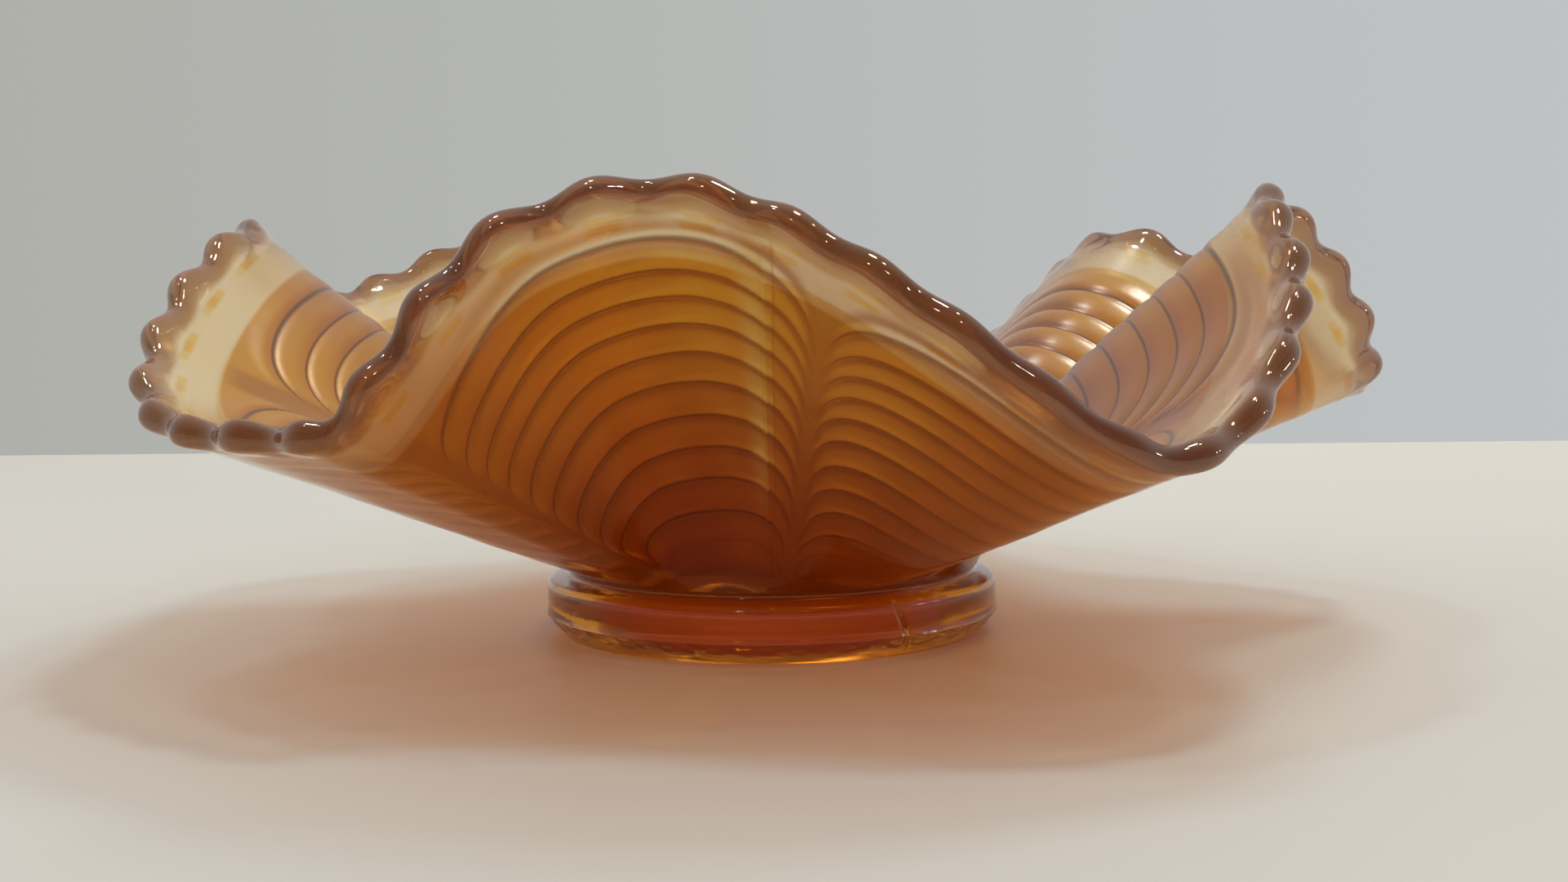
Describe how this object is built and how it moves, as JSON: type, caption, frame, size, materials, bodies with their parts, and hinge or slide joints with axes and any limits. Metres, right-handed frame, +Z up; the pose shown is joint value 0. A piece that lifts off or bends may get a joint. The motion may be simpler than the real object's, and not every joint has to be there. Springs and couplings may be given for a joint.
{
  "type": "carnival glass bowl",
  "caption": "Pressed iridescent amber glass bowl with a crimped, ruffled wall, a scalloped rim and a low collar foot.",
  "frame": {"origin": "centre of the flat ring that the bowl rests on, in the plane of the table", "axes": "+Z up along the foot's axis; -Y is the side with the broadest and highest ruffle, +X to the right as that side is faced"},
  "size_m": [0.218, 0.2255, 0.0804],
  "materials": {
    "wall_glass": "marigold iridescent film over pressed glass, paler towards the rim",
    "rim_glass": "fire-polished lip with a darker bronze and mauve film",
    "foot_glass": "glossy amber glass with a thin iridescent film"
  },
  "bodies": {
    "root": {"collar_foot": "foot_glass", "bowl_floor": "wall_glass", "bowl_wall": "wall_glass", "scalloped_rim": "rim_glass"}
  },
  "joints": []
}
